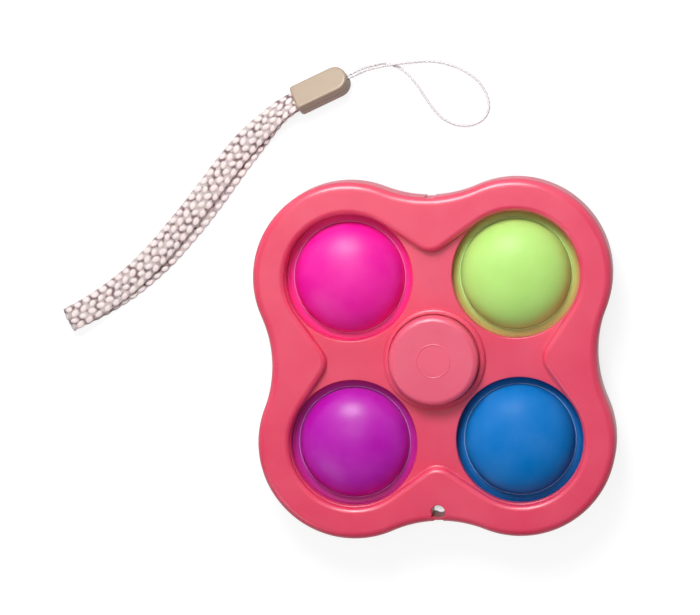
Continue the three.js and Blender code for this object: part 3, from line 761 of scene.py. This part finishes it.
def knitted(name, places, faces, stitches, threads):
    """A mesh with the stitch attribute and the thread map that its finish reads."""
    mesh = bpy.data.meshes.new(name)
    mesh.from_pydata(places, [], faces)
    piece = bpy.data.objects.new(name, mesh)
    bpy.context.scene.collection.objects.link(piece)
    mesh.attributes.new("stitch", "FLOAT", "POINT").data.foreach_set("value", stitches)
    layer = mesh.uv_layers.new(name="threads")
    for loop in mesh.loops:
        layer.data[loop.index].uv = threads[loop.vertex_index]
    pick_up(piece)
    bpy.ops.object.mode_set(mode="EDIT")
    bpy.ops.mesh.select_all(action="SELECT")
    bpy.ops.mesh.normals_make_consistent(inside=False)
    bpy.ops.object.mode_set(mode="OBJECT")
    bpy.ops.object.shade_smooth()
    return piece


def string_route(strap):
    across = Vector((
        -math.sin(strap.clip_heading) * math.cos(strap.clip_roll),
        math.cos(strap.clip_heading) * math.cos(strap.clip_roll),
        -math.sin(strap.clip_roll)))
    mouth = strap.clip_length / 2
    inside = mouth - CHANNEL_DEPTH + strap.gap
    half = strap.string_spacing / 2
    end = Vector((*clip_point(strap, mouth).xy, 0))
    loop = [end + Vector(place) * MM for place in STRING_ROUTE]
    return Route([
        clip_point(strap, inside) - across * half, clip_point(strap, mouth) - across * half, *loop,
        clip_point(strap, mouth) + across * half, clip_point(strap, inside) + across * half])


def string_run(name, strap, route):
    """Two plies twisted round each other along the route."""
    steps = round(route.length / STRING_STEP)
    around = STRING_SIDES
    radius = strap.string_diameter / 2
    places, threads, path = [], [], []
    for i in range(steps + 1):
        travel = route.length * i / steps
        middle = route.place(travel)
        heading = route.heading(travel)
        side = heading.cross(UP).normalized()
        upward = side.cross(heading)
        path.append(middle)
        for j in range(around):
            angle = math.tau * j / around
            ply = math.cos(angle * 2 - math.tau * 2 * travel / strap.string_twist)
            reach = radius * (1 - PLY_RELIEF + PLY_RELIEF * ply)
            outward = side * (reach * math.cos(angle)) + upward * (reach * math.sin(angle))
            places.append(middle + outward)
            threads.append((angle * radius, travel - angle * strap.string_twist / math.tau))
    faces = ring_faces(steps + 1, around)
    faces.append(tuple(range(around)))
    faces.append(tuple(range(steps * around, (steps + 1) * around)))
    return knitted(name, places, faces, [1.0] * len(places), threads), path


# Operators

class SPINNER_OT_camera(bpy.types.Operator):
    """Set up the camera of the main view"""
    bl_idname = "spinner.camera"
    bl_label = "Camera"

    def execute(self, context):
        view = context.scene.spinner_view
        forward = Vector(view.forward).normalized()
        right = forward.cross(Vector(view.upward)).normalized()
        upward = right.cross(forward)
        rotation = Matrix((right, upward, -forward)).transposed().to_euler()
        put_down()
        bpy.ops.object.camera_add(location=view.eye, rotation=rotation)
        camera = context.object
        camera.data.sensor_fit = "HORIZONTAL"
        camera.data.sensor_width = 36
        camera.data.lens = view.lens
        camera.data.clip_start = 0.01
        camera.data.clip_end = 20
        context.scene.camera = camera
        return {"FINISHED"}


class SPINNER_OT_clip(bpy.types.Operator):
    """Model the two halves of the strap's clip"""
    bl_idname = "spinner.clip"
    bl_label = "Strap Clip"

    def half(self, name, strap):
        top = strap.clip_thickness / 2
        half_width = strap.clip_width / 2
        corner = strap.clip_corner
        back = corner - strap.clip_length / 2
        front = strap.clip_length / 2 - half_width
        low = corner - half_width
        levels = [
            (0, strap.clip_split / 2), (0, top - strap.clip_edge),
            *rounding(strap.clip_edge, 0, top, CLIP_EDGE_STEPS)]
        line = [Vector((back - corner + inset, low, height)) for inset, height in levels]
        piece = swept(name, line, [
            (Vector((back, low, 0)), QUARTER, CLIP_CORNER_STEPS),
            (Vector((front - back, 0, 0)),),
            (Vector((front, 0, 0)), math.pi, CLIP_NOSE_STEPS),
            (Vector((back - front, 0, 0)),),
            (Vector((back, -low, 0)), QUARTER, CLIP_CORNER_STEPS),
            (Vector((0, 2 * low, 0)),),
        ])

        def cut(part, start, end, width, height):
            tool = boxed(part, Vector((start, -width, -height)), Vector((end, width, height)))
            combine(piece, tool)

        end = strap.clip_length / 2
        cut("slot", -2 * end, SLOT_DEPTH - end, strap.tape_end_width / 2 + strap.gap,
            strap.tape_thickness + strap.layer_gap / 2 + strap.gap)
        cut("channel", end - CHANNEL_DEPTH, 2 * end,
            strap.string_spacing / 2 + strap.string_diameter / 2 + strap.gap,
            strap.string_diameter / 2 + strap.gap)
        return piece

    def execute(self, context):
        strap = context.scene.spinner_strap
        material = moulded_plastic("beige_plastic", context.scene.spinner_colours.clip, 0.34, 0.08)
        roll = Matrix.Rotation(-strap.clip_roll, 4, "X")
        rotation = (Matrix.Rotation(strap.clip_heading, 4, "Z") @ roll).to_euler()
        for name, flip in (("strap_clip_cover", 0), ("strap_clip_base", math.pi)):
            piece = self.half(name + "_finished", strap)
            placed(piece, rotation=(flip, 0, 0))
            placed(piece, clip_point(strap, 0), rotation)
            smoothed(piece)
            dressed(piece, material)
            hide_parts(name)
            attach(piece, "wrist_strap")
        return {"FINISHED"}


class SPINNER_OT_cords(bpy.types.Operator):
    """Model the tape and the string of the strap"""
    bl_idname = "spinner.cords"
    bl_label = "Tape and String"

    def execute(self, context):
        strap = context.scene.spinner_strap
        colours = context.scene.spinner_colours
        clips = [bpy.data.objects[f"strap_clip_{half}_finished"] for half in ("cover", "base")]
        material = braid("knitted_tape", colours.tape, colours.tape_pit_shade)
        upper, lower = tape_stations(strap)
        travel = 0.0
        runs = (("strap_tape_upper", upper, clips), ("strap_tape_lower", lower, []))
        for name, stations, held in runs:
            piece, path, travel = tape_run(name, strap, stations, travel)
            dressed(piece, material)
            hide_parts("strap_tape")
            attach(piece, "wrist_strap")
            if name == "strap_tape_lower":
                path = path[::-1]
        route = string_route(strap)
        piece, path = string_run("strap_string_loop", strap, route)
        dressed(piece, nylon("nylon_string", colours.string))
        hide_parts("strap_string")
        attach(piece, "wrist_strap")
        return {"FINISHED"}


class SPINNER_OT_shells(bpy.types.Operator):
    """Model the front and back shells"""
    bl_idname = "spinner.shells"
    bl_label = "Shells"

    def waist_reach(self, sizes):
        """From the hub to the middle of a waist's arc."""
        return REACH + math.sqrt((sizes.lobe_radius + sizes.waist_radius) ** 2 - REACH ** 2)

    def clover(self, name, sizes, levels):
        """Sweep a line of insets and heights round the four lobes and waists."""
        waist = self.waist_reach(sizes)
        lean = math.atan2(waist - REACH, -REACH)
        out = Vector((math.cos(QUARTER - lean), math.sin(QUARTER - lean), 0))
        centre = Vector((REACH, REACH, 0))
        line = [
            centre + out * (sizes.lobe_radius - inset) + UP * height for inset, height in levels]
        moves = []
        for quarter in QUARTERS:
            moves.append((quarter @ centre, 2 * lean - QUARTER, LOBE_STEPS))
            moves.append((quarter @ Vector((0, waist, 0)), math.pi - 2 * lean, WAIST_STEPS))
        return swept(name, line, moves)

    def recess(self, name, sizes, levels):
        """Sweep a line of growths and heights round the bubbles and the rim's four tips."""
        tip = Vector((0, sizes.tip_reach + sizes.tip_radius, 0))
        centre = Vector((REACH, REACH, 0))
        following = QUARTERS[1] @ centre
        radii = sizes.recess_radius + sizes.tip_radius
        across = tip - centre
        swing = math.atan2(across.y, across.x) - math.acos(radii / across.length)
        start = Vector((math.cos(QUARTER - swing), math.sin(QUARTER - swing), 0))
        end = Vector((math.cos(swing), math.sin(swing), 0))
        back = Vector((-end.x, end.y, 0))
        line = [
            centre + start * (sizes.recess_radius + growth) + UP * height
            for growth, height in levels]
        moves = []
        for quarter in QUARTERS:
            moves.append((quarter @ centre, 2 * swing - QUARTER, LOBE_STEPS))
            moves.append((quarter @ (across - end * radii),))
            moves.append((quarter @ tip, math.pi - 2 * swing, TIP_STEPS))
            moves.append((quarter @ (following - tip + back * radii),))
        return swept(name, line, moves)

    def shell(self, name, sizes, hub, front):
        foot = sizes.seam_gap / 2
        face = sizes.rim_height
        floor = face - sizes.recess_depth
        in_floor = floor - sizes.floor_wall / 2
        inside = sizes.opening_radius
        outside = inside + sizes.collar_wall

        def add(part, profile, steps, *place, ring=False):
            combine(piece, turned(part, profile, steps, *place, ring=ring), "UNION")

        def bore(part, profile, steps, *place):
            """Cut out a turned profile, carried on past both ends of the shell."""
            low, high = (profile[0][0], -OVER), (profile[-1][0], face + OVER)
            combine(piece, turned(
                part, [(0, -OVER), low, *profile, high, (0, face + OVER)], steps, *place))

        piece = self.clover(name, sizes, [
            (0, foot), (0, face - sizes.rim_edge),
            *rounding(sizes.rim_edge, 0, face, EDGE_STEPS + 3)])
        wall = sizes.shell_wall
        combine(piece, self.clover("hollow", sizes, [
            (wall, foot - OVER), (wall, floor - sizes.floor_wall)]))
        edge = rounding(sizes.recess_edge, 0, face, EDGE_STEPS)
        foot_edge = [
            (-inset, floor - height)
            for inset, height in rounding(sizes.recess_foot, 0, 0, EDGE_STEPS)]
        combine(piece, self.recess("recess", sizes, [
            *reversed(foot_edge), (0, floor + sizes.recess_foot), (0, face - sizes.recess_edge),
            *edge, (edge[-1][0], face + OVER)]))

        for place in CENTRES.values():
            add("collar", [
                (inside - OVER, FLANGE_SEAT), (outside, FLANGE_SEAT),
                (outside, in_floor), (inside - OVER, in_floor)],
                OPENING_STEPS, *place, ring=True)
        wall = hub.bearing_radius + hub.wall
        ring = rounding(hub.ring_edge, hub.ring_radius, hub.ring_height, EDGE_STEPS, -1)
        add("hub", [
            (0, foot), (wall, foot), (wall, in_floor), (hub.ring_radius, in_floor),
            (hub.ring_radius, hub.ring_height - hub.ring_edge), *ring,
            (0, hub.ring_height)], HUB_STEPS)
        posts = [
            (x * sizes.post_reach, y * sizes.post_reach, sizes.post_radius)
            for x, y in ((1, 0), (-1, 0), (0, 1), (0, -1))]
        posts.append((0, -sizes.lanyard_reach, sizes.lanyard_radius + STRING_HOLE_WALL))
        top = face - POST_INSET
        for *place, radius in posts:
            add("post", [(0, foot), (radius, foot), (radius, top), (0, top)],
                POST_STEPS, *place)

        mouth = rounding(sizes.opening_edge, inside, floor, EDGE_STEPS)
        for place in CENTRES.values():
            bore("opening", [(inside, floor - sizes.opening_edge), *mouth],
                 OPENING_STEPS, *place)
        well = hub.cap_radius + hub.well_gap
        well_floor = hub.ring_height - hub.well_depth
        bore("well", [
            (hub.bearing_radius, hub.bearing_shoulder), (hub.lip_radius, hub.bearing_shoulder),
            (hub.lip_radius, well_floor), (well, well_floor),
            (well, hub.ring_height - WELL_BEVEL),
            (well + WELL_BEVEL, hub.ring_height)], HUB_STEPS)
        hole = sizes.lanyard_radius
        flare = STRING_HOLE_EDGE
        bore("string_hole", [(hole, face - flare), *rounding(flare, hole, face, 4)],
             STRING_HOLE_STEPS, 0, -sizes.lanyard_reach)
        low = Vector((-hole, -sizes.lanyard_reach - hole * SLOT_SHARE, -OVER))
        high = Vector((hole, -sizes.lanyard_reach, face + OVER))
        combine(piece, boxed("string_slot", low, high))
        for side in (-1, 1):
            reach = Vector((sizes.notch_width / 2, sizes.notch_depth, 0))
            place = Vector((0, side * (self.waist_reach(sizes) - sizes.waist_radius), 0))
            low, high = place - reach - UP * OVER, place + reach + UP * (face + OVER)
            combine(piece, boxed("notch", low, high))
        placed(piece, (0, 0, MIDDLE), (0, 0 if front else math.pi, 0))
        return piece

    def execute(self, context):
        sizes = context.scene.spinner_frame
        hub = context.scene.spinner_hub
        material = moulded_plastic("coral_plastic", context.scene.spinner_colours.frame, 0.31)
        for name, front in (("front_shell", True), ("back_shell", False)):
            piece = self.shell(name + "_finished", sizes, hub, front)
            smoothed(piece)
            dressed(piece, material)
            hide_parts(name)
            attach(piece, "frame")
        return {"FINISHED"}


class SPINNER_OT_caps(bpy.types.Operator):
    """Model the two finger caps"""
    bl_idname = "spinner.caps"
    bl_label = "Finger Caps"

    def cap(self, name, hub, front):
        top = hub.cap_height
        mark = hub.mark_radius
        skirt = hub.ring_height - hub.well_depth + hub.cap_gap
        inner = hub.cap_radius - hub.cap_wall
        under = top - hub.cap_wall
        shoulder = hub.bearing_shoulder
        ridge = [
            (mark + hub.mark_height * 2 * math.cos(angle), top + hub.mark_height * math.sin(angle))
            for angle in reversed(BEAD_ANGLES)]
        edge = rounding(hub.cap_edge, hub.cap_radius, top, CAP_EDGE_STEPS, -1)
        pin = PIN_RADIUS + (0 if front else PIN_GAP)
        end = -PIN_REACH if front else PIN_REACH + PIN_GAP
        return turned(name, [
            (0, top), *ridge, *reversed(edge), (hub.cap_radius, top - hub.cap_edge),
            (hub.cap_radius, skirt + CAP_BEVEL), (hub.cap_radius - CAP_BEVEL, skirt),
            (inner, skirt), (inner, under), (hub.boss_radius, under), (hub.boss_radius, shoulder),
            (hub.stem_radius, shoulder), (hub.stem_radius, PIN_GAP), (pin, PIN_GAP),
            (pin, end), (0, end)], HUB_STEPS)

    def execute(self, context):
        hub = context.scene.spinner_hub
        material = moulded_plastic("cap_plastic", context.scene.spinner_colours.cap, 0.35)
        for name, front in (("front_cap", True), ("back_cap", False)):
            piece = self.cap(name + "_finished", hub, front)
            placed(piece, (0, 0, MIDDLE), (0, 0 if front else math.pi, 0))
            smoothed(piece)
            dressed(piece, material)
            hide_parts(name)
            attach(piece, "hub")
        return {"FINISHED"}


# Gloss and roughness of each bubble
GLOSS = {"pink": (0.42, 0.38), "green": (0.34, 0.4), "purple": (0.42, 0.33), "blue": (0.12, 0.38)}


class SPINNER_OT_bubbles(bpy.types.Operator):
    """Model the four silicone bubbles"""
    bl_idname = "spinner.bubbles"
    bl_label = "Bubbles"

    def dome(self, radius, height, foot, steps):
        """A dome's line from its top to its foot, a little fuller than a half ellipse."""
        line = []
        for i in range(steps + 1):
            angle = QUARTER * (1 - i / steps)
            reach = radius * math.cos(angle) ** 0.97 if i else 0.0
            line.append((reach, foot + (height - foot) * math.sin(angle)))
        return line

    def bubble(self, name, sizes):
        web = sizes.web / 2
        flange = sizes.flange / 2
        bead = sizes.bead
        wall = sizes.wall
        outer = self.dome(sizes.radius, sizes.height, web - bead / 2, DOME_STEPS)
        inner = self.dome(sizes.radius - wall, sizes.height - wall, -web, DOME_STEPS)
        foot = [
            (sizes.radius + bead * (0.75 - 0.6 * math.cos(angle)),
             web - bead * 0.05 + bead * 0.6 * math.sin(angle))
            for angle in BEAD_ANGLES]
        edge = FLANGE_BEVEL
        piece = turned(name, [
            *outer, *foot, (sizes.web_radius - WEB_BEND, web),
            (sizes.web_radius, web + WEB_BEND / 5), (sizes.web_radius + edge, flange),
            (sizes.flange_radius - edge, flange),
            (sizes.flange_radius, flange - edge), (sizes.flange_radius, edge - flange),
            (sizes.flange_radius - edge, -flange), (sizes.web_radius, -flange),
            (sizes.web_radius - edge, -web),
            *reversed(inner)], BUBBLE_STEPS)
        painted_web_shade = piece.data.attributes.new("web", "FLOAT", "POINT")
        painted_fold_highlight = piece.data.attributes.new("fold", "FLOAT", "POINT")
        for vertex in piece.data.vertices:
            away = vertex.co.xy.length - sizes.radius
            # painted web shade: a little over the whole web for its thinner silicone, more towards
            # the opening, where shade and red bounce light are painted in
            painted_web_shade.data[vertex.index].value = (
                0.7 * smooth_step((away - bead) / WEB_SHADE) + 0.2 * (away > 0))
            # painted highlight: 1 on the bead round the dome's foot, fading off to each side
            painted_fold_highlight.data[vertex.index].value = smooth_step(1.5 - abs(away / bead - 0.75) * 2.4)
        smoothed(piece, 50)
        return piece

    def execute(self, context):
        sizes = context.scene.spinner_bubble
        colours = context.scene.spinner_colours
        model = self.bubble("bubble_model", sizes)
        for name in COLOURS:
            x, y = CENTRES[name]
            pick_up(model)
            bpy.ops.object.duplicate(linked=False)
            piece = context.object
            piece.name = piece.data.name = name + "_bubble_finished"
            placed(piece, (x, y, MIDDLE))
            material = silicone(name + "_silicone", getattr(colours, name), *GLOSS[name])
            dressed(piece, material)
            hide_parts(name + "_bubble_dome", name + "_bubble_collar")
            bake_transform(piece)
        bpy.data.objects.remove(model)
        return {"FINISHED"}


class SPINNER_OT_bearing(bpy.types.Operator):
    """Give the ball bearing its steel and nylon"""
    bl_idname = "spinner.bearing"
    bl_label = "Bearing"

    def execute(self, context):
        colours = context.scene.spinner_colours
        rings = ground_steel("bearing_steel", colours.steel, 0.3)
        balls = ground_steel("ball_steel", colours.steel, 0.14)
        cage = moulded_plastic("cage_nylon", colours.cage, 0.45)
        for name, node in frame["nodes"].items():
            if not name.startswith("bearing_"):
                continue
            material = balls if "ball" in name else cage if "cage" in name else rings
            node.data.materials.clear()
            node.data.materials.append(material)
        return {"FINISHED"}


FLOOR_GLOW = 0.87  # how bright the floor looks to the camera
FLOOR_MIRRORED = 0.7  # how much of that shows in the object's gloss
FLOOR_SHADE = 12 * MM  # how far from an edge the painted shadow on the floor reaches


class SPINNER_OT_stage(bpy.types.Operator):
    """Set up the floor, the lamps and the surroundings"""
    bl_idname = "spinner.stage"
    bl_label = "Stage"

    def lamp(self, name, place, target, size, power):
        direction = Vector(place) - Vector(target)
        put_down()
        bpy.ops.object.light_add(
            type="AREA", location=place, rotation=direction.to_track_quat("Z", "Y").to_euler())
        lamp = bpy.context.object
        lamp.name = name
        lamp.data.shape = "DISK"
        lamp.data.size = size
        lamp.data.energy = power

    def backdrop_share(self, graph, mirrored=1.0):
        """1 for rays that see the backdrop, less where it is mirrored, 0 for those that light."""
        rays = graph.node("LightPath").outputs
        glossy = graph.maths("MULTIPLY", rays["Is Glossy Ray"], mirrored)
        seen = graph.maths("MAXIMUM", rays["Is Camera Ray"], glossy)
        return graph.maths("MAXIMUM", seen, rays["Is Transmission Ray"])

    def studio(self, graph):
        """White behind the object, darker overhead and in front, where a studio has no wall."""
        place = graph.node("TexCoord").outputs["Generated"]
        along = graph.node("SeparateXYZ", place).outputs
        overhead = graph.spread(along["Z"], 1, 0.1, 0.3, 0.8, "SMOOTHSTEP")
        behind = graph.spread(along["Y"], 0.05, 1, -0.5, 0.7, "SMOOTHSTEP")
        camera = graph.node("LightPath").outputs["Is Camera Ray"]
        return graph.maths("MAXIMUM", graph.maths("MULTIPLY", overhead, behind), camera)

    def under_object(self, graph):
        """The floor's glow, with a painted shadow where the object closes it in, as under an edge,
        and 1 in the open.
        """
        nearby = graph.node("AmbientOcclusion", Distance=FLOOR_SHADE).outputs["AO"]
        return graph.spread(nearby, 0.25, 1, 0.1, 0.55, "SMOOTHSTEP")

    def empty_graph(self, owner):
        owner.use_nodes = True
        owner.node_tree.nodes.clear()
        return Graph(owner.node_tree)

    def execute(self, context):
        put_down()
        bpy.ops.mesh.primitive_plane_add(size=3)
        floor = context.object
        floor.name = "floor"
        material = bpy.data.materials.new("pale_floor")
        graph = self.empty_graph(material)
        seen = graph.maths("MULTIPLY", self.backdrop_share(graph, FLOOR_MIRRORED), FLOOR_GLOW)
        strength = graph.maths("MULTIPLY", seen, self.under_object(graph))
        plain = graph.node("BsdfDiffuse", Color=(0.2, 0.2, 0.2, 1)).outputs[0]
        glow = graph.node("Emission", Strength=strength).outputs[0]
        graph.node("OutputMaterial", graph.node("AddShader", plain, glow).outputs[0])
        floor.data.materials.append(material)

        world = bpy.data.worlds.new("studio")
        context.scene.world = world
        graph = self.empty_graph(world)
        ambient = graph.node("Background", (1, 0.98, 0.98, 1), 0.22).outputs[0]
        white = graph.node("Background", (1, 1, 1, 1), self.studio(graph)).outputs[0]
        share = self.backdrop_share(graph)
        graph.node("OutputWorld", graph.node("MixShader", share, ambient, white).outputs[0])

        self.lamp("key", (-0.075, 0.36, 0.4), (0, 0, 0.01), 0.24, 2.52)
        self.lamp("overhead", (-0.07, 0.1, 0.6), (-0.02, 0.01, 0), 0.2, 0.4)
        self.lamp("fill", (-0.5, -0.5, 0.5), (0, 0, 0), 0.5, 0.9)
        context.scene.view_settings.view_transform = "Standard"
        return {"FINISHED"}


STEPS = (
    SPINNER_OT_camera, SPINNER_OT_clip, SPINNER_OT_cords, SPINNER_OT_shells,
    SPINNER_OT_caps, SPINNER_OT_bubbles, SPINNER_OT_bearing, SPINNER_OT_stage,
)


class SPINNER_PT_panel(bpy.types.Panel):
    """Steps of the spinner in the sidebar"""
    bl_idname = "SPINNER_PT_panel"
    bl_label = "Bubble Spinner"
    bl_space_type = "VIEW_3D"
    bl_region_type = "UI"
    bl_category = "Spinner"

    def draw(self, context):
        for step in STEPS:
            self.layout.operator(step.bl_idname)
        for name, group in SETTINGS.items():
            box = self.layout.box()
            box.label(text=group.bl_rna.description)
            for key in group.__annotations__:
                box.prop(getattr(context.scene, name), key)


def register():
    for item in (*SETTINGS.values(), *STEPS, SPINNER_PT_panel):
        bpy.utils.register_class(item)
    for name, group in SETTINGS.items():
        setattr(bpy.types.Scene, name, PointerProperty(type=group))


def unregister():
    for name in SETTINGS:
        delattr(bpy.types.Scene, name)
    for item in reversed((*SETTINGS.values(), *STEPS, SPINNER_PT_panel)):
        bpy.utils.unregister_class(item)


def main():
    register()
    for step in STEPS:
        group, name = step.bl_idname.split(".")
        getattr(getattr(bpy.ops, group), name)()
    put_down()


if __name__ == "__main__":
    main()
